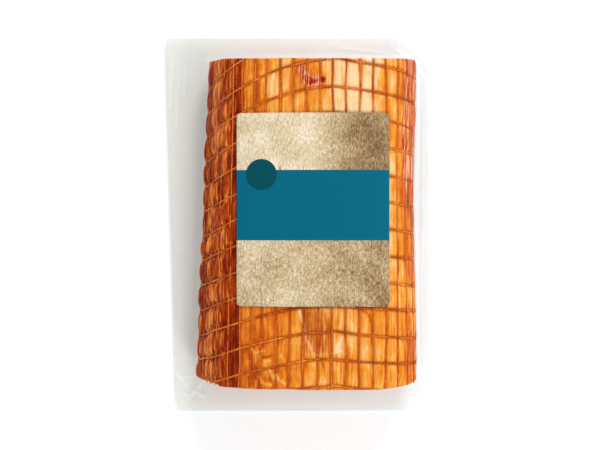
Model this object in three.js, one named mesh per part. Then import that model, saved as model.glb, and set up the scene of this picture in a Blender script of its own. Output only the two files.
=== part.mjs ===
// A smoked pork loin in a knitted net, vacuum packed between two webs of clear film, with a label.
// Millimetres. The pack lies on its back: +Z is up, +Y points to its top end and +X to its right.
// The origin is on the resting face, under the middle of the pack.
import * as THREE from "three";

// ---- driving dimensions ----

const PACK_WIDTH = 141.4;
const PACK_LENGTH = 199.8;
const PACK_LEFT_SLANT = 5.9; // how far the left edge has run in at the bottom end
const FLANGE_HEIGHT = 3.4; // underside of the sealed margin
const FILM = 0.3;
const GAP = 0.3; // clearance between neighbouring pieces

const CROSS_THREAD = 1.0; // diameter
const CROSS_THREAD_PITCH = 13.57;
const CROSS_THREAD_TOP_CREST = 95.9; // where the first cross thread would pass over the crest
const CROSS_THREAD_COUNT = 14;
const LONG_THREAD = 0.8; // diameter
const LONG_THREAD_COUNT = 41;
const LONG_THREAD_CROWDING = 0.02; // how much closer together they run on the front than on the back
const THREAD_SIDES = 4;

const LOIN_END_ROUNDING = 2.5;
const LOIN_END_STEPS = 3;
const LOIN_TAPER = 3.2; // the left flank leans in by this at the top end and out at the bottom end
const LOIN_TAPER_REACH = 82;
// Outline of the loin's section seen from its bottom end, clockwise from the crest:
// [x, height above its underside].
const LOIN_SECTION = [
  [17.5, 54],
  [37, 53],
  [49, 49],
  [56.8, 41],
  [60.2, 28],
  [59.4, 16],
  [54, 6],
  [43, 0.7],
  [22, 0],
  [-16, 0],
  [-35, 0.8],
  [-45.5, 7],
  [-48.4, 17],
  [-44.6, 30],
  [-39.8, 41],
  [-33.5, 47.8],
  [-18, 52],
  [0, 53.5],
];

const LABEL_LEFT = -30.2;
const LABEL_RIGHT = 45.8;
const LABEL_TOP = 55.5;
const LABEL_BOTTOM = -40.8;
const LABEL_CORNER = 2;
const LABEL_THICKNESS = 0.2;

// The net and the film lie on the loin in this order, outwards, with a gap before each.
const CROSS_THREAD_OFFSET = GAP + CROSS_THREAD / 2;
const LONG_THREAD_OFFSET = GAP + CROSS_THREAD + GAP + LONG_THREAD / 2;
const FILM_OFFSET = GAP + CROSS_THREAD + GAP + LONG_THREAD + GAP;
const LOIN_UNDERSIDE = FILM + FILM_OFFSET;
const FRONT_FLANGE_HEIGHT = FLANGE_HEIGHT + FILM + GAP;

const COLOURS = {
  loin: new THREE.Color(0.79, 0.42, 0.16),
  thread: new THREE.Color(0.76, 0.41, 0.2),
  film: new THREE.Color(0.9, 0.89, 0.87),
  label: new THREE.Color(0.8, 0.73, 0.6),
};

// ---- the loin's section and ends ----

const sectionCurve = new THREE.CatmullRomCurve3(
  LOIN_SECTION.map(([x, height]) => new THREE.Vector3(x, 0, height)),
  true,
  "centripetal",
);
const sectionBox = new THREE.Box3().setFromPoints(sectionCurve.getPoints(200));

// One station for each long thread: its place on the section and the outward normal there.
const stations = Array.from({ length: LONG_THREAD_COUNT }, (_, k) => {
  const turn = k / LONG_THREAD_COUNT;
  const u = turn - (LONG_THREAD_CROWDING * Math.sin(2 * Math.PI * turn)) / (2 * Math.PI);
  const place = sectionCurve.getPointAt(u);
  const tangent = sectionCurve.getTangentAt(u);
  return { place, normal: new THREE.Vector3(-tangent.z, 0, tangent.x) };
});

// A point at a station, offset outwards from the meat, with the loin's taper.
function pointOnLoin(station, y, offset) {
  const { place, normal } = station;
  const reach = (sectionBox.max.x - place.x) / (sectionBox.max.x - sectionBox.min.x);
  const taper = LOIN_TAPER * (y / LOIN_TAPER_REACH) * reach ** 2;
  return new THREE.Vector3(
    place.x + taper + normal.x * offset,
    y,
    LOIN_UNDERSIDE + place.z - sectionBox.min.z + normal.z * offset,
  );
}

// Both ends are cut nearly square: the cut planes lean a little with height.
function topEndY(height) {
  return 84.2 - height / 55;
}

function bottomEndY(height) {
  return -79.2 - 2.6 * (height / 54) ** 2;
}

// ---- meshes from points ----

function solid(points, triangles) {
  const geometry = new THREE.BufferGeometry().setFromPoints(points);
  geometry.setIndex(triangles.flat());
  geometry.computeVertexNormals();
  return geometry;
}

// Joins closed rings of equal length, which run clockwise seen from -Y and follow each other
// towards +Y, and closes both ends with a fan.
function loft(rings) {
  const size = rings[0].length;
  const points = rings.flat();
  const triangles = [];
  for (let j = 0; j + 1 < rings.length; j += 1) {
    for (let i = 0; i < size; i += 1) {
      const a = j * size + i;
      const b = j * size + ((i + 1) % size);
      triangles.push([a, b, b + size], [a, b + size, a + size]);
    }
  }
  const middle = (ring) =>
    ring.reduce((sum, p) => sum.add(p), new THREE.Vector3()).divideScalar(size);
  const firstMiddle = points.push(middle(rings[0])) - 1;
  const lastMiddle = points.push(middle(rings[rings.length - 1])) - 1;
  const last = (rings.length - 1) * size;
  for (let i = 0; i < size; i += 1) {
    const next = (i + 1) % size;
    triangles.push([firstMiddle, next, i], [lastMiddle, last + i, last + next]);
  }
  return solid(points, triangles);
}

// A thread along a path. Each step gives its centre and the outward direction there; the
// section is a polygon with a corner on that direction. Closed paths have no ends.
function threadGeometry(path, diameter, closed) {
  const points = [];
  const triangles = [];
  const count = path.length;
  path.forEach(({ centre, outward }, i) => {
    const before = path[closed ? (i + count - 1) % count : Math.max(i - 1, 0)].centre;
    const after = path[closed ? (i + 1) % count : Math.min(i + 1, count - 1)].centre;
    const along = after.clone().sub(before).normalize();
    const side = outward.clone().cross(along).normalize();
    for (let j = 0; j < THREAD_SIDES; j += 1) {
      const angle = (2 * Math.PI * j) / THREAD_SIDES;
      points.push(
        centre
          .clone()
          .addScaledVector(outward, (Math.cos(angle) * diameter) / 2)
          .addScaledVector(side, (Math.sin(angle) * diameter) / 2),
      );
    }
  });
  for (let i = 0; i < (closed ? count : count - 1); i += 1) {
    for (let j = 0; j < THREAD_SIDES; j += 1) {
      const a = i * THREAD_SIDES + j;
      const b = ((i + 1) % count) * THREAD_SIDES + j;
      const c = ((i + 1) % count) * THREAD_SIDES + ((j + 1) % THREAD_SIDES);
      const d = i * THREAD_SIDES + ((j + 1) % THREAD_SIDES);
      triangles.push([a, b, c], [a, c, d]);
    }
  }
  if (!closed) {
    const last = (count - 1) * THREAD_SIDES;
    for (let j = 1; j + 1 < THREAD_SIDES; j += 1) {
      triangles.push([0, j, j + 1], [last, last + j + 1, last + j]);
    }
  }
  return solid(points, triangles);
}

// A sheet of even thickness on top of a grid of points, whose rows run towards +X and follow
// each other towards +Y.
function sheetGeometry(rows, thickness) {
  const across = rows[0].length;
  const lower = rows.flat();
  const face = [];
  for (let j = 0; j + 1 < rows.length; j += 1) {
    for (let i = 0; i + 1 < across; i += 1) {
      const a = j * across + i;
      face.push([a, a + 1, a + across + 1], [a, a + across + 1, a + across]);
    }
  }
  const normals = solid(lower, face).getAttribute("normal");
  const upper = lower.map((p, i) =>
    p.clone().addScaledVector(new THREE.Vector3().fromBufferAttribute(normals, i), thickness),
  );
  const lift = lower.length;
  const triangles = face.map(([a, b, c]) => [a + lift, b + lift, c + lift]);
  triangles.push(...face.map(([a, b, c]) => [a, c, b]));
  const border = [];
  for (let i = 0; i < across; i += 1) border.push(i);
  for (let j = 1; j < rows.length; j += 1) border.push(j * across + across - 1);
  for (let i = across - 2; i >= 0; i -= 1) border.push((rows.length - 1) * across + i);
  for (let j = rows.length - 2; j > 0; j -= 1) border.push(j * across);
  border.forEach((a, i) => {
    const b = border[(i + 1) % border.length];
    triangles.push([a, b, b + lift], [a, b + lift, a + lift]);
  });
  return solid([...lower, ...upper], triangles);
}

// ---- the pieces ----

function makeLoin() {
  const ring = (step, endY, inwards) => {
    const angle = (Math.PI / 2) * (step / LOIN_END_STEPS);
    const inset = LOIN_END_ROUNDING * (1 - Math.sin(angle));
    const retreat = LOIN_END_ROUNDING * (1 - Math.cos(angle));
    return stations.map((station) =>
      pointOnLoin(station, endY(station.place.z) + inwards * retreat, -inset),
    );
  };
  const rings = [];
  for (let step = 0; step <= LOIN_END_STEPS; step += 1) rings.push(ring(step, bottomEndY, 1));
  for (let step = LOIN_END_STEPS; step >= 0; step -= 1) rings.push(ring(step, topEndY, -1));
  return loft(rings);
}

function makeLongThread(station) {
  const steps = [bottomEndY(station.place.z) + GAP, topEndY(station.place.z) - GAP];
  const path = steps.map((y) => ({
    centre: pointOnLoin(station, y, LONG_THREAD_OFFSET),
    outward: station.normal,
  }));
  return threadGeometry(path, LONG_THREAD, false);
}

// How far a cross thread falls behind its crest, towards the bottom end, at a station. It bows
// down to both flanks, more to the left and more at the top end, and runs level across the back.
function crossThreadDrop(station, crestY) {
  const crestX = LOIN_SECTION[0][0];
  const leftDrop = 19.5 + crestY * 0.055;
  const rightDrop = 5.2 + crestY * 0.021;
  const left = (crestX - station.place.x) / (crestX - sectionBox.min.x);
  const right = (station.place.x - crestX) / (sectionBox.max.x - crestX);
  if (station.normal.z >= -0.15) {
    return left > 0 ? leftDrop * left ** 1.7 : rightDrop * right ** 1.1;
  }
  const across = (station.place.x - sectionBox.min.x) / (sectionBox.max.x - sectionBox.min.x);
  return THREE.MathUtils.lerp(leftDrop, rightDrop, THREE.MathUtils.smootherstep(across, 0, 1));
}

// Cross threads near an end are cut off by it, where their bow runs past the cut face.
function makeCrossThread(crestY) {
  const steps = stations.map((station) => {
    const y = crestY - crossThreadDrop(station, crestY);
    const margin = GAP + CROSS_THREAD / 2;
    const inside = Math.min(
      topEndY(station.place.z) - margin - y,
      y - bottomEndY(station.place.z) - margin,
    );
    return { centre: pointOnLoin(station, y, CROSS_THREAD_OFFSET), outward: station.normal, inside };
  });
  const count = steps.length;
  if (steps.every((step) => step.inside > 0)) {
    return threadGeometry(steps, CROSS_THREAD, true);
  }
  const first = steps.findIndex(
    (step, k) => step.inside > 0 && steps[(k + count - 1) % count].inside <= 0,
  );
  const cut = (from, to) => {
    const t = from.inside / (from.inside - to.inside);
    return {
      centre: from.centre.clone().lerp(to.centre, t),
      outward: from.outward.clone().lerp(to.outward, t).normalize(),
    };
  };
  const path = [cut(steps[(first + count - 1) % count], steps[first])];
  let k = first;
  while (steps[k].inside > 0) {
    path.push(steps[k]);
    k = (k + 1) % count;
  }
  path.push(cut(steps[(k + count - 1) % count], steps[k]));
  return threadGeometry(path, CROSS_THREAD, false);
}

function packLeftX(y) {
  return -PACK_WIDTH / 2 + PACK_LEFT_SLANT * (0.5 - y / PACK_LENGTH);
}

// Stations that the front film lies on, from the left side over the crest to the right side.
const leftmost = stations.reduce((best, s, k) => (s.place.x < stations[best].place.x ? k : best), 0);
const rightmost = stations.reduce((best, s, k) => (s.place.x > stations[best].place.x ? k : best), 0);
const filmStations = [...stations.slice(leftmost), ...stations.slice(0, rightmost + 1)];

// Inner face of the front film across the pack at one y. The film stands over the loin by
// `rise`, from 0 on the sealed margin to 1 on the loin.
function frontFilmRow(y, bodyY, rise) {
  const over = filmStations.map((station) => pointOnLoin(station, bodyY, FILM_OFFSET));
  const left = over[0];
  const right = over[over.length - 1];
  const foot = (x, height) => new THREE.Vector3(x, bodyY, FRONT_FLANGE_HEIGHT + height);
  const row = [
    foot(packLeftX(y), 0),
    foot(left.x - 6.5, 0),
    foot(left.x - 3.2, 0.8),
    foot(left.x - 1.2, 4.2),
    ...over,
    foot(right.x + 0.7, 4.2),
    foot(right.x + 1.9, 0.8),
    foot(right.x + 3.6, 0),
    foot(PACK_WIDTH / 2, 0),
  ];
  return row.map((p) => {
    return new THREE.Vector3(p.x, y, THREE.MathUtils.lerp(FRONT_FLANGE_HEIGHT, p.z, rise));
  });
}

function makeFrontWeb() {
  const topY = topEndY(0);
  const bottomY = bottomEndY(sectionBox.max.z);
  // How the film comes down outside a cut end: [distance past the end, rise].
  const endSteps = [
    [0.3, 1],
    [0.8, 0.985],
    [1.2, 0.95],
    [1.6, 0.8],
    [2.3, 0.3],
    [3.2, 0.08],
    [5.5, 0.01],
    [8.5, 0],
  ];
  const bottomRows = endSteps.map(([past, rise]) => frontFilmRow(bottomY - past, bottomY, rise));
  const topRows = endSteps.map(([past, rise]) => frontFilmRow(topY + past, topY, rise));
  const rows = [
    frontFilmRow(-PACK_LENGTH / 2, bottomY, 0),
    ...bottomRows.reverse(),
    ...topRows,
    frontFilmRow(PACK_LENGTH / 2, topY, 0),
  ];
  return sheetGeometry(rows, FILM);
}

// The back film lies flat under the loin and rises in a shallow tray to the sealed margin.
function makeBackWeb() {
  const trayWidth = 9;
  const trayRise = [0, 0.1, 0.5, 0.9, 1];
  const lastStep = trayRise.length - 1;
  const profile = (low, floorLow, floorHigh, high) => [
    [low, 1],
    ...trayRise.map((rise, i) => [floorLow - trayWidth * (1 - i / lastStep), 1 - rise]),
    ...trayRise.map((rise, i) => [floorHigh + trayWidth * (i / lastStep), rise]),
    [high, 1],
  ];
  const rows = profile(-PACK_LENGTH / 2, -83, 85.5, PACK_LENGTH / 2).map(([y, riseY]) =>
    profile(packLeftX(y), -47, 54, PACK_WIDTH / 2).map(
      ([x, riseX]) => new THREE.Vector3(x, y, FLANGE_HEIGHT * Math.max(riseX, riseY)),
    ),
  );
  return sheetGeometry(rows, FILM);
}

// The label follows the outside of the front film, column for column.
function makeLabel() {
  const under = stations.filter(
    ({ place, normal }) =>
      normal.z > 0 && place.x > LABEL_LEFT + LABEL_CORNER && place.x < LABEL_RIGHT - LABEL_CORNER,
  );
  under.sort((a, b) => a.place.x - b.place.x);
  const corner = [0, 30, 60, 90].map((degrees) => {
    const angle = THREE.MathUtils.degToRad(degrees);
    return [LABEL_CORNER * (1 - Math.sin(angle)), LABEL_CORNER * (1 - Math.cos(angle))];
  });
  const levels = [
    ...corner.map(([inset, up]) => [LABEL_BOTTOM + up, inset]),
    ...corner.toReversed().map(([inset, down]) => [LABEL_TOP - down, inset]),
  ];
  const rows = levels.map(([y, inset]) => {
    const outside = (station) => pointOnLoin(station, y, FILM_OFFSET + FILM + GAP);
    const film = filmStations.map(outside);
    const heightAt = (x) => {
      const next = film.findIndex((p) => p.x > x);
      const t = (x - film[next - 1].x) / (film[next].x - film[next - 1].x);
      return THREE.MathUtils.lerp(film[next - 1].z, film[next].z, t);
    };
    const left = LABEL_LEFT + inset;
    const right = LABEL_RIGHT - inset;
    return [
      new THREE.Vector3(left, y, heightAt(left)),
      ...under.map(outside),
      new THREE.Vector3(right, y, heightAt(right)),
    ];
  });
  return sheetGeometry(rows, LABEL_THICKNESS);
}

// ---- the assembly ----

const pack = new THREE.Group();

function add(name, geometry, color, roughness, options = {}) {
  const material = new THREE.MeshStandardMaterial({ color, roughness, metalness: 0, ...options });
  const mesh = new THREE.Mesh(geometry, material);
  mesh.name = name;
  pack.add(mesh);
}

const numbered = (name, k) => `${name}_${String(k + 1).padStart(2, "0")}`;
const clear = { transparent: true, opacity: 0.3 };

add("loin", makeLoin(), COLOURS.loin, 0.4);
for (let k = 0; k < CROSS_THREAD_COUNT; k += 1) {
  const crestY = CROSS_THREAD_TOP_CREST - k * CROSS_THREAD_PITCH;
  add(numbered("net_cross_thread", k), makeCrossThread(crestY), COLOURS.thread, 0.6);
}
stations.forEach((station, k) => {
  add(numbered("net_long_thread", k), makeLongThread(station), COLOURS.thread, 0.6);
});
add("pouch_back_web", makeBackWeb(), COLOURS.film, 0.2, clear);
add("pouch_front_web", makeFrontWeb(), COLOURS.film, 0.2, clear);
add("label", makeLabel(), COLOURS.label, 0.5);

export default pack;
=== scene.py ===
"""The looks of a smoked pork loin in its net, vacuum packed in clear film with a label.

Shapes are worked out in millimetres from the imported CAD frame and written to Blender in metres.
+Z is up out of the label, +Y is the pack's top end and +X its right.
"""

import math

import bpy
import numpy as np
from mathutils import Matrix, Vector


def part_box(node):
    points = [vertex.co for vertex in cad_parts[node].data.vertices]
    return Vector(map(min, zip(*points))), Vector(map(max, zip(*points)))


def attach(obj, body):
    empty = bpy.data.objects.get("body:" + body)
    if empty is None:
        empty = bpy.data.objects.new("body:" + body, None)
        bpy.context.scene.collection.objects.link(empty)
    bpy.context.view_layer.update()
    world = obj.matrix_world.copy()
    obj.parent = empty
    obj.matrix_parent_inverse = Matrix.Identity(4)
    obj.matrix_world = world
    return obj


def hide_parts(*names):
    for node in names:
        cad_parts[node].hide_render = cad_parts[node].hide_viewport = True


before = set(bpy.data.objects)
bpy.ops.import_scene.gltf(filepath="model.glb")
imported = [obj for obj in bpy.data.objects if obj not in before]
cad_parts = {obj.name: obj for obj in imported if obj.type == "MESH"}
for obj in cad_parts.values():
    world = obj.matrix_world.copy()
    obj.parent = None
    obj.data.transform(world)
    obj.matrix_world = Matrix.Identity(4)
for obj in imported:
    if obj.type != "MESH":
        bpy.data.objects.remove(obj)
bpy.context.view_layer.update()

MM = 0.001
BODY = "root"

# ---- driving values, mm ----

# The net and the loin's taper, as in the CAD model.
LONG_THREADS = sorted(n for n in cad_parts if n.startswith("net_long_thread_"))
CROSS_THREADS = sorted(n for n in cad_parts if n.startswith("net_cross_thread_"))
LONG_THREAD_OFFSET = 2.0  # from the CAD loin's surface to the middle of a long thread
CROSS_PITCH = 13.57
CROSS_TOP_CREST = 95.9
PACK_LEFT_SLANT = 5.9
LOIN_TAPER = 3.2
LOIN_TAPER_REACH = 82.0
LOIN_LEFT, LOIN_RIGHT = -48.4, 60.2  # the long threads' least and greatest x
CREST_X = 17.5
RIGHT_WAIST = 1.6  # how far the right flank is drawn in at its middle

# How far the visible surfaces lie from the CAD loin's surface.
CROSS_THREAD_LIFT = 0.75
LONG_THREAD_LIFT = 1.0
MEAT_AT_THREADS = 0.6
FILM_LIFT = 1.7
LONG_YARN_RADIUS = 0.31
CROSS_YARN_RADIUS = 0.46
YARN_TURN = 5.0  # length of one turn of the three-ply yarn

# On the left flank the long threads have crept by this many stations at the two ends.
CREEP_STATIONS = (30, 32, 33, 34, 35, 36, 37, 38, 39, 40)
CREEP_TOP = (0.0, 0.26, 0.31, 0.08, 0.04, -0.07, -0.06, -0.02, 0.0, 0.0)
CREEP_BOTTOM = (0.0, 0.4, 0.55, 0.36, 0.12, -0.18, -0.06, -0.11, -0.09, 0.0)

END_RADIUS = 1.1  # rounding of the cut ends' edges

# A stroke is listed as both its ends in x and y, its width, and its height or strength.

# Pale lines in the fat.
PALE_LINES = [
    ((0.4, -41.0), (3.1, -49.2), 0.7, 1.0),
    ((3.1, -48.0), (4.7, -57.7), 0.6, 1.0),
    ((4.5, -56.5), (8.4, -65.0), 0.6, 0.9),
    ((22.8, -55.0), (19.9, -61.0), 0.5, 0.6),
    ((20.3, -60.0), (17.5, -65.0), 0.5, 0.6),
    ((17.5, -63.6), (22.5, -62.6), 0.6, 0.7),
    ((36.0, 52.0), (26.0, 78.0), 0.5, 0.4),
    ((30.0, 50.0), (23.0, 66.0), 0.5, 0.4),
    ((45.2, -30.0), (45.9, 25.0), 0.6, 0.6),
    ((51.5, -70.0), (51.0, -30.0), 0.6, 0.25),
]
# Pinched folds in the fat at the bottom left, and the grooves beside them.
FOLDS = [
    ((-19.2, -75.0), (-17.0, -79.6), 0.7, 1.0),
    ((-17.2, -79.0), (-12.5, -80.0), 0.7, 0.9),
    ((-14.5, -70.5), (-11.2, -77.5), 0.8, 1.0),
    ((-11.5, -74.0), (-8.5, -78.0), 0.8, 1.0),
    ((-8.8, -77.3), (-5.0, -79.8), 0.8, 1.0),
    ((-17.2, -68.2), (-12.6, -67.4), 0.7, 0.9),
    ((-23.5, -61.0), (-20.5, -65.0), 0.7, 0.7),
    ((-20.8, -64.0), (-16.0, -62.5), 0.7, 0.7),
    ((-24.8, -67.0), (-24.2, -76.0), 1.1, 0.8),
    ((-8.5, -64.0), (-5.5, -70.0), 0.8, 0.6),
]
CREASES = [
    ((-12.6, -70.0), (-13.6, -79.0), 0.6, 1.0),
    ((-21.0, -69.0), (-20.4, -78.0), 0.6, 0.8),
    ((-9.8, -71.0), (-6.4, -76.5), 0.6, 0.8),
    ((-18.0, -66.3), (-12.0, -65.4), 0.6, 0.8),
    ((-22.0, -59.5), (-15.5, -60.8), 0.6, 0.7),
]
# Brown lines and smoked streaks in the fat.
BROWN_LINES = [
    ((3.6, -66.0), (4.4, -71.5), 0.7, 0.6),
    ((12.0, -66.0), (12.8, -71.5), 0.7, 0.6),
    ((19.0, -64.5), (19.8, -69.0), 0.7, 0.6),
    ((30.5, -41.5), (35.6, -44.6), 0.7, 0.9),
    ((35.2, -44.0), (37.4, -50.0), 0.7, 0.9),
    ((37.4, -49.0), (37.0, -61.0), 0.7, 0.8),
    ((-19.5, 50.0), (-20.5, 84.0), 2.2, 0.7),
    ((42.5, 66.0), (44.0, 80.0), 1.8, 0.6),
    ((0.0, 60.0), (-1.0, 84.0), 0.8, 0.4),
]
# Tone of the lean at stations around the loin, from 0, dark, to 1, pale orange.
LEAN_TONES = (
    (0.0, 0.35), (29.6, 0.35), (30.2, 0.36), (30.7, 0.85), (31.6, 0.85), (32.1, 0.5),
    (32.9, 0.62), (33.4, 0.3), (33.8, 0.1), (34.6, 0.1), (41.0, 0.35),
)
# The red notch in the fat near the top end.
NOTCH = [
    ((-0.8, 80.0), (5.0, 73.0), 1.4, 0.7),
    ((3.0, 74.5), (8.0, 69.5), 2.3, 1.1),
    ((6.0, 71.0), (14.8, 72.0), 2.1, 1.1),
]
# Creases in the film's margin, and arcs around its top right corner, by radius and height.
FLANGE_CREASES = [
    ((-66.0, -79.0), (-58.0, -88.0), 0.7, 1.0),
    ((-58.0, -88.0), (-49.0, -92.5), 0.7, 0.9),
    ((-50.5, -84.0), (-58.5, -93.0), 0.7, 0.9),
    ((-63.0, -82.0), (-55.0, -81.5), 0.6, 0.6),
    ((-61.0, -90.0), (-56.0, -96.0), 0.6, 0.6),
    ((-69.0, 60.0), (-67.0, 92.0), 0.7, 0.5),
    ((-65.5, 48.0), (-63.5, 88.0), 0.8, 0.5),
    ((-61.0, 66.0), (-60.5, 86.0), 0.6, 0.4),
    ((66.8, -30.0), (67.4, 60.0), 0.6, 0.5),
    ((64.9, 5.0), (65.0, 78.0), 0.5, 0.4),
    ((67.6, -86.0), (66.4, -20.0), 0.6, 0.4),
    ((20.0, 95.0), (52.0, 91.5), 0.8, 0.5),
]
CORNER_CENTRE = (47, 73)
CORNER_ARCS = ((21, 0.9), (25, 0.8))
CREASE_WIDTH = 0.7

# Tone of the fat on the front, from 0, deep orange, to 1, cream: pairs of x and tone, by y.
FAT_TONES = {
    83.0: (
        (-29, 0.36), (-19, 0.46), (-8, 0.68), (0, 0.56), (4, 0.46), (12, 0.62), (20, 0.82),
        (28, 0.84), (38, 0.98), (42, 0.76), (45, 0.62), (50, 0.58), (54, 0.35), (60, 0.2),
    ),
    50.0: (
        (-29, 0.36), (-19, 0.5), (-8, 0.7), (2, 0.5), (8, 0.56), (14, 0.78), (20, 0.88),
        (36, 0.96), (43, 0.64), (50, 0.55), (54, 0.35), (60, 0.2),
    ),
    -30.0: (
        (-29, 0.25), (-19, 0.3), (-6, 0.4), (14, 0.6), (30, 0.7), (44, 0.62),
        (50, 0.55), (55, 0.4), (60, 0.3),
    ),
    -52.0: (
        (-29, 0.18), (-16, 0.2), (-6, 0.3), (-2, 0.68), (1, 0.5), (10, 0.35), (16.5, 0.34),
        (19, 0.6), (24, 0.62), (32, 0.62), (38, 0.52), (50, 0.46), (55, 0.36), (60, 0.3),
    ),
    -75.0: (
        (-29, 0.08), (-15, 0.22), (-3, 0.35), (8, 0.5), (20, 0.5), (36, 0.52),
        (44, 0.56), (50, 0.5), (55, 0.36), (60, 0.3),
    ),
}

# Where the two cut ends close to a point, in x and z.
CUT_CENTRE = (6.0, 30.0)

# The label's print: the band's lower and upper edge in y, and the disc.
BAND_LOW, BAND_HIGH = -7.9, 27.1
DISC_X, DISC_Y, DISC_RADIUS = -17.9, 24.8, 7.76
LABEL_CORNER = 2.0
LABEL_THICKNESS = 0.15
BACK_FILM_THICKNESS = 0.28

# ---- studio and camera ----

CAMERA_PLACE = (1.35, -0.27, 720.0)
CAMERA_LENS = 80
CAMERA_SENSOR = 36
FLOOR_HALF_WIDTH = 3000.0
FLOOR_DROP = 0.05  # the floor lies this far under the pack
FLOOR_GLOW = 0.19
HORIZON_LIGHT = 1.08
OVERHEAD_LIGHT = 0.42
# Name, place in m, size in m, power in W. They stand off the ends, so that only small bumps in the
# film and not whole flanks mirror them.
SOFT_BOXES = (
    ("key", (0.3, 1.0, 1.0), 0.4, 9.5),
    ("fill", (0.5, -1.0, 0.9), 0.4, 7.0),
)


# ---- noise and strokes ----


def lattice(i, j, seed):
    """Random values from -1 to 1 at whole-numbered places."""
    h = (i * 374761393 + j * 668265263 + seed * 974634777) & 0xFFFFFFFF
    h = ((h ^ (h >> 13)) * 1274126177) & 0xFFFFFFFF
    return ((h ^ (h >> 16)) & 0xFFFF) / 32767.5 - 1


def noise(u, v, seed):
    """Smooth noise from -1 to 1, with about one bump per unit."""
    u, v = np.broadcast_arrays(np.asarray(u, float), np.asarray(v, float))
    i = np.floor(u).astype(np.int64)
    j = np.floor(v).astype(np.int64)
    a = u - i
    b = v - j
    a = a * a * (3 - 2 * a)
    b = b * b * (3 - 2 * b)
    low = lattice(i, j, seed) * (1 - a) + lattice(i + 1, j, seed) * a
    high = lattice(i, j + 1, seed) * (1 - a) + lattice(i + 1, j + 1, seed) * a
    return low * (1 - b) + high * b


def fractal(u, v, seed, octaves=3):
    """Noise with finer and weaker noise on top of it."""
    total = 0.0
    for k in range(octaves):
        scale = 2**k
        total = total + noise(u * scale, v * scale, seed + k) / scale
    return total / 1.5


def smoothstep(low, high, x):
    """0 up to low, 1 from high on, and smooth between them; low may be the greater one."""
    t = np.clip((x - low) / (high - low), 0, 1)
    return t * t * (3 - 2 * t)


def strokes_height(x, y, strokes):
    """Low ridges along short straight strokes, which fade out at both ends."""
    ridge = np.zeros_like(x)
    for (x0, y0), (x1, y1), width, height in strokes:
        dx, dy = x1 - x0, y1 - y0
        length = math.hypot(dx, dy)
        t = ((x - x0) * dx + (y - y0) * dy) / length**2
        off = np.abs((x - x0) * dy - (y - y0) * dx) / length
        fade = smoothstep(-0.05, 0.2, t) * smoothstep(1.05, 0.8, t)
        ridge = np.maximum(ridge, height * fade * np.exp(-((off / width) ** 2)))
    return ridge


def arc(centre, radius, start, stop, width, height):
    """Strokes along part of a circle, with the angles in degrees."""
    angles = np.radians(np.linspace(start, stop, 7))
    places = [(centre[0] + radius * math.cos(a), centre[1] + radius * math.sin(a)) for a in angles]
    return [(p, q, width, height) for p, q in zip(places, places[1:], strict=False)]


# ---- the loin's shape ----

# A place on the loin's surface is a station s, which counts long threads clockwise from the crest
# as seen from the bottom end, and a y.


def box_mm(node):
    """Lowest and highest corner of a CAD node."""
    return np.array(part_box(node)) / MM


THREAD_LINE = np.array([box_mm(name).mean(0)[[0, 2]] for name in LONG_THREADS])
STATIONS = len(THREAD_LINE)
STATION_WIDTH = np.linalg.norm(THREAD_LINE - np.roll(THREAD_LINE, 1, 0), axis=1).mean()


def closed_curve(points, s):
    """A smooth closed curve through points, at parameter s, and its direction there."""
    i = np.floor(s).astype(int)
    t = (s - i)[..., None]
    n = len(points)
    p0, p1, p2, p3 = (points[(i + k) % n] for k in (-1, 0, 1, 2))
    square = 2 * p0 - 5 * p1 + 4 * p2 - p3
    cube = 3 * (p1 - p2) + p3 - p0
    place = p1 + 0.5 * t * (p2 - p0 + t * (square + t * cube))
    slope = 0.5 * (p2 - p0 + t * (2 * square + 3 * t * cube))
    return place, slope / np.linalg.norm(slope, axis=-1, keepdims=True)


def section(s):
    """x, z, and the outward normal's x and z, of the thread line at s."""
    place, along = closed_curve(THREAD_LINE, np.asarray(s, float))
    return place[..., 0], place[..., 1], -along[..., 1], along[..., 0]


def on_loin(s, y, lift):
    """Points at a lift outwards from the CAD loin's surface."""
    s, y, lift = np.broadcast_arrays(np.asarray(s, float), y, lift)
    x, z, nx, nz = section(s)
    reach = (LOIN_RIGHT - x) / (LOIN_RIGHT - LOIN_LEFT)
    out = lift - LONG_THREAD_OFFSET
    x = x + LOIN_TAPER * (y / LOIN_TAPER_REACH) * reach**2 + nx * out
    waist = RIGHT_WAIST * smoothstep(42, 60, x) * np.exp(-(((y - 12) / 48) ** 2))
    return np.stack([x - waist, y, z + nz * out], -1)


def top_end(z):
    """y of the top cut end at a height."""
    return 87.0 - 0.07 * z


def bottom_end(z):
    """y of the bottom cut end at a height."""
    return -79.2 - 2.6 * (z / 54) ** 2


def drop_terms(s):
    """A cross thread with its crest at y = c lies at y = c - a - b * c; this gives a and b at s."""
    x, _, _, nz = section(s)
    left = np.clip((CREST_X - x) / (CREST_X - LOIN_LEFT), 0, 1) ** 1.7
    right = np.clip((x - CREST_X) / (LOIN_RIGHT - CREST_X), 0, 1) ** 1.1
    across = np.clip((x - LOIN_LEFT) / (LOIN_RIGHT - LOIN_LEFT), 0, 1)
    under = across**3 * (across * (across * 6 - 15) + 10)
    front = nz >= -0.15
    left = np.where(front, left, 1 - under)
    right = np.where(front, right, under)
    return 19.5 * left + 5.2 * right, 0.055 * left + 0.021 * right


def cross_thread_y(s, k):
    """y of cross thread k, which wanders a little."""
    a, b = drop_terms(s)
    crest = CROSS_TOP_CREST - k * CROSS_PITCH
    return crest - a - b * crest + 0.55 * noise(s / 2.3, k * 7.3, 11)


def cross_count(s, y):
    """How many cross threads down from the top a place lies."""
    a, b = drop_terms(s)
    return (CROSS_TOP_CREST - (y + a) / (1 - b)) / CROSS_PITCH


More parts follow.
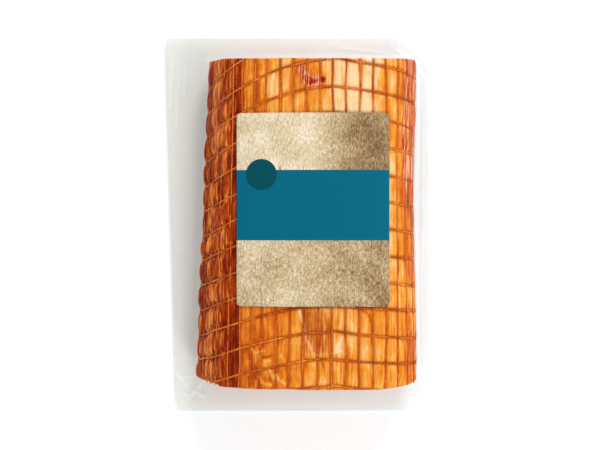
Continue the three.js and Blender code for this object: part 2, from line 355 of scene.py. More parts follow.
def creep(s, y):
    """How far the long threads have crept towards the crest on the left flank, in stations."""
    across = np.mod(np.asarray(s, float), STATIONS)
    top, bottom = (np.interp(across, CREEP_STATIONS, creeps) for creeps in (CREEP_TOP, CREEP_BOTTOM))
    return top + (bottom - top) * smoothstep(76, -62, y)


def wander(y, k):
    """How far long thread k strays from its station, in stations."""
    return 0.07 * noise(y / 17, k * 5.7, 12)


def long_thread_s(y, k):
    """Station of long thread k at y."""
    return k + creep(k, y) + wander(y, k)


def net_distances(s, y):
    """Distance in mm from the nearest long thread, and along y from the nearest cross thread."""
    n = s
    for _ in range(4):
        n = s - creep(n, y)
    k = np.round(n)
    to_long = (n - k - wander(y, k % STATIONS)) * STATION_WIDTH
    to_cross = y - cross_thread_y(s, np.round(cross_count(s, y)))
    return to_long, to_cross


def left_flank(s):
    """1 on the lean left flank, 0 on the fat front."""
    x, z, _, _ = section(s)
    return smoothstep(-26, -37, x) * smoothstep(4, 12, z)


def buried(s):
    """1 on the outer left flank, where the lean has swollen over the net, 0 elsewhere."""
    across = np.mod(s, STATIONS)
    return smoothstep(32.8, 32.3, across) * smoothstep(25.0, 26.5, across)


def lobes(s, y):
    """Long rounded lobes of lean: height from 0 to 1, and a random value for each lobe."""
    per_station = 2
    u, v = np.asarray(s, float) * per_station, cross_count(s, y)
    u, v = np.broadcast_arrays(u, v)
    i, j = np.floor(u).astype(np.int64), np.floor(v).astype(np.int64)
    nearest = np.full(u.shape, 9.0)
    second = nearest
    value = np.zeros(u.shape)
    for di in (-1, 0, 1):
        for dj in (-1, 0, 1):
            a, b = (i + di) % (STATIONS * per_station), j + dj
            du = i + di + 0.5 + 0.32 * lattice(a, b, 25) - u
            dv = b + 0.5 + 0.16 * lattice(a, b, 26) - v
            reach = np.hypot(du, dv)
            closer = reach < nearest
            second = np.where(closer, nearest, np.minimum(second, reach))
            value = np.where(closer, lattice(a, b, 27), value)
            nearest = np.where(closer, reach, nearest)
    return 1 - np.exp(-(((second - nearest) / 0.32) ** 2)), value


def back_side(s):
    """1 where the loin faces down, 0 where it faces up."""
    return smoothstep(0.1, -0.5, section(s)[3])


def right_wrinkles(s, y, start):
    """1 on the wrinkled upper part of the right flank; it sets in from y = start on."""
    x, z, _, _ = section(s)
    return smoothstep(49.5, 52.5, x) * smoothstep(10, 30, z) * smoothstep(start, 10, y)


def meat_lift(s, y):
    """How far the meat stands out from the CAD loin's surface."""
    to_long, to_cross = net_distances(s, y)
    along = 1 - (1 - np.clip(np.abs(to_cross) / 6.2, 0, 1)) ** 2
    across = 1 - (1 - np.clip(np.abs(to_long) / 3.3, 0, 1)) ** 2
    lip_cross = 1 - np.exp(-((to_cross / 0.95) ** 2))
    lip_long = 1 - np.exp(-((to_long / 0.8) ** 2))
    flank = left_flank(s)
    front = 0.25 * along + 0.2 * across + 0.3 * lip_cross * lip_long
    plump = 1 + 0.45 * noise(s / 2.2, y / 14, 24)
    side = 0.8 * along * plump + 0.2 * across + 0.15 * lip_cross
    lift = MEAT_AT_THREADS + front * (1 - flank) + side * flank
    fingers = fractal(s * 1.9, y / 13, 21)
    lift = lift + fingers * (0.1 + 0.25 * flank) * (0.35 + 0.65 * lip_cross)
    lobe, value = lobes(s, y)
    swollen = 0.45 + 0.55 * smoothstep(55, 25, y) + 0.35 * noise(y / 19, 0.0, 28)
    outer = smoothstep(33.8, 33.1, np.mod(s, STATIONS))
    lift = lift + flank * lobe * outer * swollen * (0.3 + 0.65 * buried(s) + 0.4 * value)
    lift = lift - (0.7 - 0.6 * smoothstep(10, 50, y)) * buried(s) * flank
    lift = lift + 0.3 * right_wrinkles(s, y, -70) * fractal(s * 4.3, y / 14, 29, 2)
    swell = fractal(s / 3.7, y / 31, 22, 2)
    return lift + 0.25 * swell * across + folds(s, y)


def folds(s, y):
    """Pinched folds in the fat near the bottom end, left of the crest."""
    x = on_loin(s, y, 1.0)[..., 0]
    mask = smoothstep(-28, -24, x) * smoothstep(1, -5, x) * smoothstep(-50, -58, y)
    crumple = fractal(x / 3.2 + 0.1 * y, y / 5.2 - 0.1 * x, 23)
    y = np.broadcast_to(y, x.shape)
    ridges, grooves = strokes_height(x, y, FOLDS), strokes_height(x, y, CREASES)
    return 0.3 * mask * crumple + 0.75 * ridges - 0.45 * grooves


# ---- meshes ----


def grid_faces(rows, columns, closed):
    """Quads of a grid of points, row after row, whose columns may close into a ring."""
    j, i = np.mgrid[0 : rows - 1, 0 : columns if closed else columns - 1]
    right = (i + 1) % columns
    a, b = j * columns + i, j * columns + right
    return np.stack([a, b, b + columns, a + columns], -1).reshape(-1, 4)


def new_mesh(name, points, faces):
    """A smooth mesh from points in mm and arrays of faces with equal numbers of corners."""
    points = np.asarray(points, np.float64).reshape(-1, 3) * MM
    corners = np.concatenate([f.ravel() for f in faces])
    sizes = np.concatenate([np.full(len(f), f.shape[1]) for f in faces])
    mesh = bpy.data.meshes.new(name)
    mesh.vertices.add(len(points))
    mesh.vertices.foreach_set("co", points.astype(np.float32).ravel())
    mesh.loops.add(len(corners))
    mesh.loops.foreach_set("vertex_index", corners.astype(np.int32))
    mesh.polygons.add(len(sizes))
    mesh.polygons.foreach_set("loop_start", (np.cumsum(sizes) - sizes).astype(np.int32))
    mesh.polygons.foreach_set("use_smooth", np.ones(len(sizes), bool))
    mesh.update(calc_edges=True)
    return mesh


def new_object(name, data):
    """An object in the scene."""
    item = bpy.data.objects.new(name, data)
    bpy.context.scene.collection.objects.link(item)
    return item


def new_piece(name, points, faces, material, node_names, attributes=None):
    """A piece of the visual model that stands for CAD nodes."""
    mesh = new_mesh(name, points, faces)
    for key, values in (attributes or {}).items():
        layer = mesh.attributes.new(key, "FLOAT", "POINT")
        layer.data.foreach_set("value", np.asarray(values, np.float32).ravel())
    mesh.materials.append(material)
    piece = new_object(name, mesh)
    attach(piece, BODY)
    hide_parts(*node_names)
    return piece


# ---- materials ----


class Nodes:
    """Short calls to build a material's node tree."""

    def __init__(self, name):
        self.material = bpy.data.materials.new(name)
        self.material.use_nodes = True
        self.tree = self.material.node_tree
        self.tree.nodes.clear()
        self.places = self.node("ShaderNodeTexCoord").outputs["Object"]

    def node(self, kind, **settings):
        n = self.tree.nodes.new(kind)
        for key, value in settings.items():
            setattr(n, key, value)
        return n

    def feed(self, socket, value):
        if isinstance(value, bpy.types.NodeSocket):
            self.tree.links.new(value, socket)
        else:
            socket.default_value = value

    def math(self, operation, *values, clamp=False):
        n = self.node("ShaderNodeMath", operation=operation, use_clamp=clamp)
        for socket, value in zip(n.inputs, values, strict=False):
            self.feed(socket, value)
        return n.outputs[0]

    def add(self, a, b):
        return self.math("ADD", a, b)

    def minus(self, a, b):
        return self.math("SUBTRACT", a, b)

    def times(self, a, b):
        return self.math("MULTIPLY", a, b)

    def attribute(self, name):
        return self.node("ShaderNodeAttribute", attribute_name=name).outputs["Fac"]

    def place_in_plane(self):
        """Object coordinates x and y, in metres."""
        n = self.node("ShaderNodeSeparateXYZ")
        self.feed(n.inputs[0], self.places)
        return n.outputs["X"], n.outputs["Y"]

    def stretched(self, per_mm):
        """Object coordinates in mm, times a scale for each axis."""
        n = self.node("ShaderNodeVectorMath", operation="MULTIPLY")
        self.feed(n.inputs[0], self.places)
        n.inputs[1].default_value = [k / MM for k in per_mm]
        return n.outputs[0]

    def noise(self, per_mm, detail=4.0, roughness=0.55, distortion=0.0):
        n = self.node("ShaderNodeTexNoise")
        self.feed(n.inputs["Vector"], self.stretched(per_mm))
        settings = {"Scale": 1.0, "Detail": detail, "Roughness": roughness, "Distortion": distortion}
        for key, value in settings.items():
            n.inputs[key].default_value = value
        return n.outputs["Fac"]

    def range(self, value, low, high, to_low=0.0, to_high=1.0):
        n = self.node("ShaderNodeMapRange", clamp=True)
        self.feed(n.inputs["Value"], value)
        for socket, v in zip(list(n.inputs)[1:5], (low, high, to_low, to_high), strict=True):
            socket.default_value = v
        return n.outputs["Result"]

    def ramp(self, value, stops):
        n = self.node("ShaderNodeValToRGB")
        self.feed(n.inputs["Fac"], value)
        band = n.color_ramp.elements
        while len(band) < len(stops):
            band.new(0.5)
        for element, (place, colour) in zip(band, stops, strict=True):
            element.position = place
            element.color = srgb(colour)
        return n.outputs["Color"]

    def mix(self, share, a, b, blend="MIX"):
        n = self.node("ShaderNodeMix", data_type="RGBA", blend_type=blend, clamp_factor=True)
        self.feed(n.inputs[0], share)
        self.feed(n.inputs[6], srgb(a) if isinstance(a, tuple) else a)
        self.feed(n.inputs[7], srgb(b) if isinstance(b, tuple) else b)
        return n.outputs[2]

    def bump(self, height, distance_mm, strength=1.0, normal=None):
        n = self.node("ShaderNodeBump")
        self.feed(n.inputs["Height"], height)
        n.inputs["Distance"].default_value = distance_mm * MM
        n.inputs["Strength"].default_value = strength
        if normal is not None:
            self.feed(n.inputs["Normal"], normal)
        return n.outputs["Normal"]

    def principled(self, **inputs):
        n = self.node("ShaderNodeBsdfPrincipled")
        for key, value in inputs.items():
            self.feed(n.inputs[key.replace("_", " ")], value)
        return n.outputs[0]

    def transparent(self):
        return self.node("ShaderNodeBsdfTransparent").outputs[0]

    def blend(self, share, first, second):
        n = self.node("ShaderNodeMixShader")
        for socket, value in zip(n.inputs, (share, first, second), strict=True):
            self.feed(socket, value)
        return n.outputs[0]

    def output(self, shader):
        self.feed(self.node("ShaderNodeOutputMaterial").inputs["Surface"], shader)
        return self.material


def srgb(colour):
    """A colour from 0-255 display values as the linear colour that Blender keeps."""
    c = np.array(colour[:3], float) / 255
    linear = np.where(c <= 0.04045, c / 12.92, ((c + 0.055) / 1.055) ** 2.4)
    return (*linear.tolist(), 1.0)


def meat_material():
    """Smoked fat and lean outside, and pink marbled muscle with a rim of fat on the cut ends."""
    m = Nodes("smoked_meat")
    names = ("tone", "lean", "groove_shade", "thread_shade", "stain", "cut", "rim")
    tone, lean, groove_shade, thread_shade, stain, cut, rim = (m.attribute(name) for name in names)
    fibres = m.noise((1.1, 0.05, 1.1), detail=5, roughness=0.6)
    threads = m.noise((2.0, 0.09, 2.0), detail=3)
    mottle = m.noise((0.17, 0.09, 0.17), detail=5, roughness=0.6)
    amber = m.noise((0.3, 0.05, 0.3), detail=4)
    specks = m.noise((1.4, 0.5, 1.4), detail=3)

    shade = m.add(tone, m.range(fibres, 0.3, 0.7, -0.22, 0.22))
    shade = m.add(shade, m.range(mottle, 0.3, 0.7, -0.18, 0.18))
    fat = m.ramp(
        shade,
        [(0.0, (150, 54, 12)), (0.2, (194, 84, 16)), (0.4, (220, 120, 30)), (0.6, (234, 150, 48)),
         (0.8, (240, 178, 96)), (1.0, (247, 210, 160))],
    )
    # The fat is painted a darker orange near the threads, as painted shade along the net.
    shade_by_threads = m.times(thread_shade, m.range(amber, 0.3, 0.62, 0.1, 0.8))
    fat = m.mix(shade_by_threads, fat, (204, 92, 12))
    fat = m.mix(m.range(amber, 0.58, 0.75, 0.0, 0.5), fat, (208, 98, 14))
    hairline = m.math("ABSOLUTE", m.minus(threads, 0.5))
    fat = m.mix(m.range(hairline, 0.0, 0.016, 0.5, 0.0), fat, (158, 72, 18))
    # Thin pale lines in the fat are painted highlights, not part of the fat's own colour.
    painted_glint_lines = m.math("ABSOLUTE", m.minus(threads, 0.57))
    fat = m.mix(m.range(painted_glint_lines, 0.0, 0.014, 0.3, 0.0), fat, (250, 200, 132))
    lean_shade = m.add(m.range(fibres, 0.32, 0.68), m.range(mottle, 0.3, 0.7, -0.25, 0.25))
    lean_shade = m.add(lean_shade, m.range(tone, 0.0, 1.0, -0.35, 0.45))
    red = m.ramp(
        lean_shade,
        [(0.0, (96, 18, 4)), (0.3, (136, 36, 8)), (0.6, (168, 60, 14)), (0.82, (202, 96, 30)),
         (1.0, (232, 142, 62))],
    )
    outside = m.mix(lean, fat, red)
    # Painted shade in the grooves beside the threads.
    outside = m.mix(m.times(groove_shade, 0.6), outside, (140, 52, 10))
    # Red fibres of the notch and of the right flank's streaks; the palest pink stop paints glints on
    # them.
    red_streaks = m.ramp(
        m.add(fibres, m.range(stain, 0.6, 1.0, 0.04, -0.06)),
        [(0.38, (118, 16, 8)), (0.47, (172, 44, 22)), (0.54, (216, 116, 76)),
         (0.62, (250, 210, 188))],
    )
    outside = m.mix(stain, outside, red_streaks)

    grain = m.noise((0.28, 0.5, 0.28), detail=6, roughness=0.65, distortion=0.6)
    muscle = m.ramp(
        grain,
        [(0.25, (196, 104, 92)), (0.5, (222, 142, 124)), (0.72, (236, 170, 150)),
         (0.9, (246, 206, 184))],
    )
    seams = m.math("ABSOLUTE", m.minus(m.noise((0.06, 0.5, 0.09), detail=4), 0.5))
    muscle = m.mix(m.range(seams, 0.0, 0.03, 0.6, 0.0), muscle, (244, 212, 186))
    rim_colour = m.ramp(grain, [(0.3, (240, 206, 160)), (0.7, (250, 228, 198))])
    inside = m.mix(rim, muscle, rim_colour)
    colour = m.mix(cut, outside, inside)

    rough = m.range(specks, 0.3, 0.7, 0.28, 0.5)
    height = m.add(fibres, m.times(specks, 0.5))
    normal = m.bump(height, 0.35, 0.8)
    shader = m.principled(
        Base_Color=colour, Roughness=rough, Normal=normal, Specular_IOR_Level=0.02,
        Subsurface_Weight=0.12, Subsurface_Radius=(1.0, 0.35, 0.15), Subsurface_Scale=1.2 * MM,
    )
    return m.output(shader)


def thread_material():
    """Yarn stained by smoke, paler where it crosses the dark lean on the front's left."""
    m = Nodes("net_yarn")
    fibres = m.noise((1.3, 0.9, 1.3), detail=4)
    stain = m.noise((0.12, 0.05, 0.12), detail=3)
    x, _ = m.place_in_plane()
    on_lean = m.range(x, -26 * MM, -29 * MM)
    on_lean = m.times(on_lean, m.range(x, -42 * MM, -38 * MM, 0.25, 1.0))
    pale = m.ramp(fibres, [(0.3, (188, 86, 26)), (0.5, (218, 120, 44)), (0.7, (240, 156, 74))])
    soot = m.noise((0.09, 0.06, 0.09), detail=2)
    dark = m.ramp(
        m.add(fibres, m.range(soot, 0.35, 0.65, -0.2, 0.2)),
        [(0.2, (132, 56, 14)), (0.45, (188, 86, 22)), (0.6, (218, 118, 34)), (0.8, (240, 160, 74))],
    )
    base = m.mix(on_lean, dark, pale)
    colour = m.mix(m.range(stain, 0.4, 0.7, 0.0, 0.5), base, (178, 72, 14))
    rough, normal = m.range(fibres, 0.2, 0.8, 0.45, 0.75), m.bump(fibres, 0.12)
    return m.output(
        m.principled(Base_Color=colour, Roughness=rough, Normal=normal, Specular_IOR_Level=0.1)
    )


def film_material():
    """Clear film with small glints, milky in the margin and along creases, with painted shade and
    reflection of the loin on its left.
    """
    m = Nodes("clear_film")
    flange = m.attribute("flange")
    crease = m.attribute("crease")
    haze = m.noise((0.02, 0.03, 0.02), detail=3)
    ripple = m.noise((0.3, 0.12, 0.3), detail=3)
    streaks = m.noise((0.5, 0.03, 0.5), detail=4)
    milky = m.ramp(
        m.add(m.times(haze, 0.8), m.times(streaks, 0.2)),
        [(0.3, (239, 246, 245)), (0.55, (246, 252, 252)), (0.75, (251, 255, 255))],
    )
    x, _ = m.place_in_plane()
    # The margin is painted darker and warmer towards the left: painted shade and warm reflection of
    # the loin.
    loin_shade_on_left = m.range(x, -50 * MM, 40 * MM, 0.8, 0.0)
    milky = m.mix(loin_shade_on_left, milky, (235, 236, 226))
    milky = m.mix(m.times(crease, 0.8), milky, (252, 252, 251))
    normal = m.bump(ripple, 0.3, 0.6)
    rough = m.range(haze, 0.3, 0.7, 0.25, 0.4)
    body = m.principled(Base_Color=milky, Roughness=rough, Normal=normal, Specular_IOR_Level=0.3)
    gloss = m.node("ShaderNodeBsdfGlossy")
    gloss.inputs["Roughness"].default_value = 0.13
    gloss.inputs["Color"].default_value = srgb((255, 222, 188))
    m.feed(gloss.inputs["Normal"], normal)
    fresnel = m.node("ShaderNodeFresnel")
    fresnel.inputs["IOR"].default_value = 1.45
    m.feed(fresnel.inputs["Normal"], normal)
    glints = m.noise((0.9, 0.1, 0.9), detail=4)
    shine = m.range(glints, 0.66, 0.74, 0.003, 0.14)
    shine = m.add(shine, m.range(fresnel.outputs[0], 0.03, 0.6, 0.0, 0.004))
    clear = m.blend(shine, m.transparent(), gloss.outputs[0])
    share = m.math("ADD", m.times(flange, 0.62), m.times(crease, 0.2), clamp=True)
    return m.output(m.blend(share, clear, body))


def back_film_material():
    """Clear film with an even faint haze."""
    m = Nodes("back_film")
    haze = m.noise((0.03, 0.03, 0.03), detail=3)
    colour = m.ramp(haze, [(0.3, (248, 249, 249)), (0.7, (254, 254, 255))])
    normal = m.bump(m.noise((0.2, 0.15, 0.2)), 0.2, 0.4)
    rough = m.range(haze, 0.3, 0.7, 0.25, 0.4)
    body = m.principled(Base_Color=colour, Roughness=rough, Normal=normal)
    share = m.range(haze, 0.3, 0.7, 0.3, 0.4)
    return m.output(m.blend(share, m.transparent(), body))


def label_material():
    """Worn kraft board in print, with a plain band and a plain disc."""
    m = Nodes("printed_label")
    x, y = m.place_in_plane()
    grain = m.noise((1.4, 0.6, 1.4), detail=6, roughness=0.75, distortion=0.6)
    scratches = m.noise((0.5, 0.7, 0.9), detail=5, roughness=0.8, distortion=2.5)
    clouds = m.noise((0.07, 0.07, 0.07), detail=4)
    boards = m.noise((0.16, 0.008, 0.16), detail=3)
    above = m.math("GREATER_THAN", y, (BAND_LOW + BAND_HIGH) / 2 * MM)
    below = m.minus(1.0, above)
    worn = m.times(m.range(x, 6 * MM, 30 * MM, 0.0, 0.6), above)
    aged_right = m.range(x, 0.0, 36 * MM, 0.18, 0.42)
    aged_low = m.range(y, -12 * MM, -45 * MM, 0.0, 0.06)
    aged = m.times(m.add(aged_right, aged_low), below)
    shade = m.minus(0.76, m.add(worn, aged))
    shade = m.add(shade, m.range(grain, 0.3, 0.7, -0.4, 0.4))
    scratched = m.times(m.range(scratches, 0.3, 0.7, -0.34, 0.3), below)
    shade = m.add(shade, scratched)
    shade = m.add(shade, m.range(clouds, 0.3, 0.7, -0.16, 0.16))
    kraft = m.ramp(
        shade,
        [(0.0, (112, 84, 54)), (0.3, (165, 137, 98)), (0.6, (206, 185, 147)),
         (0.82, (226, 211, 181)), (1.0, (240, 230, 208))],
    )
    cracks = m.math("ABSOLUTE", m.minus(boards, 0.5))
    cracks = m.times(m.range(cracks, 0.0, 0.007, 0.9, 0.0), m.range(clouds, 0.45, 0.6))
    kraft = m.mix(cracks, kraft, (104, 80, 54))
    under_top = m.math("LESS_THAN", y, BAND_HIGH * MM)
    band = m.times(under_top, m.math("GREATER_THAN", y, BAND_LOW * MM))
    colour = m.mix(band, kraft, (0, 98, 122))
    reach = m.math("POWER", m.minus(x, DISC_X * MM), 2.0)
    reach = m.add(reach, m.math("POWER", m.minus(y, DISC_Y * MM), 2.0))
    disc = m.math("LESS_THAN", m.math("SQRT", reach), DISC_RADIUS * MM)
    colour = m.mix(disc, colour, (0, 73, 85))
    rough = m.range(grain, 0.3, 0.7, 0.38, 0.5)
    return m.output(m.principled(Base_Color=colour, Roughness=rough, Specular_IOR_Level=0.08))


# ---- the pieces ----


def stations_for(fine, coarse):
    """Stations around the loin, closer together where the front and the flanks show."""
    s = np.arange(0, STATIONS, 1 / fine)
    keep = back_side(s) < 0.9
    keep |= (np.arange(len(s)) % max(1, fine // coarse)) == 0
    return s[keep]


def fat_tone(s, y):
    """How pale the fat is on the front, from 0, deep orange, to 1, cream."""
    x = on_loin(s, y, 1.0)[..., 0]
    levels = sorted(FAT_TONES)
    profiles = np.stack([np.interp(x, *zip(*FAT_TONES[y0], strict=True)) for y0 in levels])
    place = np.clip(np.interp(y, levels, np.arange(len(levels))), 0, len(levels) - 1.001)
    i = np.floor(place).astype(int)
    t = place - i
    low = np.take_along_axis(profiles, i[None], 0)[0]
    high = np.take_along_axis(profiles, i[None] + 1, 0)[0]
    return low * (1 - t) + high * t


def lean_share(s, y, x, z):
    """1 on lean meat, 0 on fat."""
    edge = -26.8 - 2.1 * (84 - y) / 165 + 0.5 * fractal(y / 9, 0.0, 51)
    left = smoothstep(edge + 0.5, edge - 0.5, x) * (z > 10)
    ragged = z + 3 * fractal(s / 2, y / 12, 52, 2)
    right = smoothstep(34, 24, ragged) * smoothstep(40, 50, x)
    return np.maximum(np.maximum(left, 0.75 * right), back_side(s))


def fat_shade(s, y, x, thread_shade):
    """Tone of the fat with its cells, streaks, folds and lines, with painted light on the cells'
    middles and fold ridges and painted shade in the fold creases.
    """
    cell = noise(np.round(s) * 3.1 + 0.5, np.floor((y + 100) / CROSS_PITCH) * 2.7 + 0.5, 53)
    streaks = fractal(s * 2.4, y / 11, 54)
    # Paler away from the threads: painted light on the bulging middles of the cells.
    pale = (1 - thread_shade) * 0.16 - 0.05
    tone = fat_tone(s, y) + 0.09 * cell + 0.08 * streaks + pale
    tone = tone + 0.35 * smoothstep(50, 56, x) * fractal(s * 4, y / 12, 59)
    tone = tone - 0.14 * smoothstep(49, 53, x) * smoothstep(-35, -15, y)
    # Fold ridges painted lighter and the creases between them darker: painted light and shade.
    tone = tone + 0.6 * np.clip(folds(s, y), -1, 1)
    pale_lines, brown_lines = strokes_height(x, y, PALE_LINES), strokes_height(x, y, BROWN_LINES)
    return tone + 0.7 * pale_lines - 0.5 * brown_lines


def lean_shade(s, y):
    """Tone of the lean with its lobes, with painted light on their middles and painted shade between
    them.
    """
    lobe, value = lobes(s, y)
    tone = np.interp(s, *zip(*LEAN_TONES, strict=True))
    tone = tone + 0.25 * smoothstep(20, 75, y) * smoothstep(33.2, 34, s)
    tone = tone + 0.08 * smoothstep(-30, -60, y) * smoothstep(33.6, 33.0, s)
    # Each lobe has its own tone, plus painted light on its middle and painted shade in the gaps
    # between lobes.
    lobe_tint_and_shading = 0.16 * value + 0.4 * (lobe - 0.7) * (0.3 + 0.7 * buried(s))
    lobe_tint_and_shading = lobe_tint_and_shading * smoothstep(33.8, 33.1, s)
    tone = tone + lobe_tint_and_shading * left_flank(s) * (0.4 + 0.6 * smoothstep(60, 30, y))
    return tone + 0.25 * fractal(s * 2.2, y / 17, 55)


def red_stain(s, y, x, z):
    """1 in the notch near the top end and in red streaks high on the right flank."""
    notch = strokes_height(x, y, NOTCH) * (1.2 + 0.6 * fractal(x / 3, y / 2.5, 56))
    streaked = smoothstep(-0.4, 0.2, fractal(s * 5, y / 15, 60)) * smoothstep(51.0, 54.5, x)
    high = 0.75 * streaked * smoothstep(26, 36, z) * smoothstep(0, 50, y + 6 * streaked)
    return np.maximum(np.clip(notch, 0, 1), high)


def side_measures(s, y, side, from_end):
    """What the meat's material reads on the side, for each of its points."""
    x, z = side[..., 0], side[..., 2]
    to_long, to_cross = net_distances(s, y)
    # Painted shade in the grooves along the threads, a little weaker along the long ones.
    by_long = 0.8 * np.exp(-((to_long / 0.55) ** 2))
    groove_shade = np.maximum(by_long, np.exp(-((to_cross / 0.75) ** 2)))
    # How near the threads a point is; it drives painted shade by the threads and painted light in
    # the cells' middles.
    spread = 1.05 + 0.6 * fractal(s * 0.9, y / 7, 58, 2)
    thread_shade = np.maximum(np.exp(-((to_long / spread) ** 2)), np.exp(-((to_cross / spread) ** 2)))
    lean = lean_share(s, y, x, z)
    tone = fat_shade(s, y, x, thread_shade) * (1 - lean) + lean_shade(s, y) * lean
    around_notch = [(p, q, 2 * width, 1.0) for p, q, width, _ in NOTCH]
    tone = tone - 0.3 * strokes_height(x, y, around_notch) * (1 - lean)
    brown = smoothstep(1, 3, x) * smoothstep(17, 15, x)
    brown = brown * smoothstep(-41, -44, y) * smoothstep(-66, -63, y)
    return {
        "tone": tone + 0.12 * brown,
        "lean": np.maximum(lean, 0.7 * brown),
        "groove_shade": groove_shade,
        "thread_shade": thread_shade,
        "stain": red_stain(s, y, x, z),
        "cut": np.where(from_end < 0.03, 1.0, 0.0),
    }


def cut_end(edge, side, shrink):
    """Rings that close a cut end over to one point; side is -1 at the bottom, 1 at the top."""
    end = bottom_end if side < 0 else top_end
    x = edge[:, 0] * (1 - shrink) + CUT_CENTRE[0] * shrink
    z = edge[:, 2] * (1 - shrink) + CUT_CENTRE[1] * shrink
    rough = 0.3 * fractal(x / 6, z / 6, 41 + side)
    uneven = (edge[:, 1] - end(edge[:, 2])) * (1 - shrink)
    y = end(z) + uneven + rough * np.minimum(1, 4 * shrink)
    return np.stack([x, y, z], -1)


def fat_rim(s, edge, shrink):
    """1 on the fat around a cut end, 0 on its muscle."""
    depth = 1.2 + 6.5 * smoothstep(-36, -14, edge[:, 0]) * smoothstep(16, 46, edge[:, 2])
    depth = depth * (1 + 0.3 * noise(s / 1.6, 0.0, 57))
    reach = np.linalg.norm(edge[:, [0, 2]] - CUT_CENTRE, axis=-1)
    return smoothstep(1, 0, (shrink * reach - depth) / 1.2)


def side_rows(low, high):
    """y of each row of points along the side, and how far the rounded end rows lie in."""
    turn = np.linspace(0, 1, 6)[:-1]
    near = END_RADIUS * (1 - np.sin((1 - turn) * math.pi / 2))
    inner = np.linspace(0, 1, 262)[1:-1, None]
    start = low[None] + near[:, None]
    middle = (low + END_RADIUS) * (1 - inner) + (high - END_RADIUS) * inner
    stop = (high[None] - near[:, None])[::-1]
    rows = np.concatenate([start, middle, stop])
    depth = END_RADIUS - np.sqrt(np.maximum(END_RADIUS**2 - (END_RADIUS - near) ** 2, 0))
    inset = np.zeros(len(rows))
    inset[: len(near)] = depth
    inset[-len(near) :] = depth[::-1]
    return rows, inset[:, None]


def make_loin(material):
    s = stations_for(12, 6)
    z = section(s)[1]
    ragged = 0.35 * fractal(s / 1.7, 0.0, 31)
    low, high = bottom_end(z) + ragged, top_end(z) + 0.7 * ragged
    y, inset = side_rows(low, high)
    around = np.broadcast_to(s, y.shape)
    from_end = np.minimum(y - low, high - y)
    lift = meat_lift(around, y) - inset
    side = on_loin(around, y, lift - 0.5 * np.exp(-from_end / 3.5))

    shrink = np.linspace(0, 1, 25)[1:-1, None]
    bottom_cap = cut_end(side[0], -1, shrink)[::-1]
    top_cap = cut_end(side[-1], 1, shrink)
    grid = np.concatenate([bottom_cap, side, top_cap])
    x0, z0 = CUT_CENTRE
    tips = [[x0, bottom_end(z0), z0], [x0, top_end(z0), z0]]
    points = np.concatenate([grid.reshape(-1, 3), tips])
    rows, columns = grid.shape[:2]
    here = np.arange(columns)
    after = (here + 1) % columns
    bottom_tip = np.full(columns, rows * columns)
    last = (rows - 1) * columns
    faces = [
        grid_faces(rows, columns, True),
        np.stack([bottom_tip, after, here], -1),
        np.stack([bottom_tip + 1, last + here, last + after], -1),
    ]

    # The cut ends have one value of each measure, and fat along their rim.
    on_caps = {"tone": 0.5, "cut": 1.0}
    attributes = {}
    for name, values in side_measures(around, y, side, from_end).items():
        cap = np.full(len(shrink) * columns, on_caps.get(name, 0.0))
        attributes[name] = np.concatenate([cap, values.ravel(), cap, cap[:2]])
    rim = fat_rim(s, side[0], shrink)
    attributes["rim"] = np.concatenate([rim[::-1].ravel(), np.zeros(y.size), rim.ravel(), [0, 0]])
    new_piece("pork_loin", points, faces, material, ["loin"], attributes)


def thread_mesh(centres, outward, radius, closed):
    """A twisted three-ply yarn along a path."""
    sides = 9
    after = np.roll(centres, -1, 0) - np.roll(centres, 1, 0)
    if not closed:
        after[0] = centres[1] - centres[0]
        after[-1] = centres[-1] - centres[-2]
    along = after / np.linalg.norm(after, axis=1, keepdims=True)
    side = np.cross(outward, along)
    side /= np.linalg.norm(side, axis=1, keepdims=True)
    up = np.cross(along, side)
    run = np.concatenate([[0], np.cumsum(np.linalg.norm(np.diff(centres, axis=0), axis=1))])
    total = run[-1] + (np.linalg.norm(centres[0] - centres[-1]) if closed else 0)
    turns = max(1, round(total / YARN_TURN)) / total
    angle = 2 * math.pi * np.arange(sides) / sides
    twist = 2 * math.pi * turns * run[:, None]
    r = radius * (0.95 + 0.14 * np.cos(3 * (angle - twist)))
    ring_up = np.cos(angle)[:, None] * up[:, None]
    ring_side = np.sin(angle)[:, None] * side[:, None]
    points = centres[:, None] + r[..., None] * (ring_up + ring_side)
    rows = len(centres)
    if closed:
        faces = [grid_faces(rows + 1, sides, True) % (rows * sides)]
    else:
        rim = np.arange(sides)
        ends = np.stack([rim[::-1], (rows - 1) * sides + rim])
        faces = [grid_faces(rows, sides, True), ends]
    return points.reshape(-1, 3), faces


def outward_at(s):
    """The loin's outward normal."""
    _, _, nx, nz = section(s)
    return np.stack([nx, np.zeros_like(nx), nz], -1)


def make_long_thread(name, k, material):
    y = np.linspace(bottom_end(THREAD_LINE[k][1]) + 0.2, top_end(THREAD_LINE[k][1]) - 0.2, 330)
    s = long_thread_s(y, k)
    _, to_cross = net_distances(s, y)
    over = np.exp(-((to_cross / 1.3) ** 2))
    sag = 0.28 * noise(y / 9, k * 3.3, 61)
    sunk = 0.4 * smoothstep(0.1, 0.6, noise(y / 12, k * 4.1, 63)) * (1 - over) * (1 - left_flank(s))
    lift = LONG_THREAD_LIFT + 0.3 * over + 0.35 * left_flank(s) * (1 - over) + 0.4 * sag - sunk
    lift = lift - 0.3 * buried(s) - 0.35 * right_wrinkles(s, y, -60)
    centres = on_loin(s, y, lift)
    points, faces = thread_mesh(centres, outward_at(s), LONG_YARN_RADIUS, False)
    new_piece(name.replace("net_", "yarn_"), points, faces, material, [name])


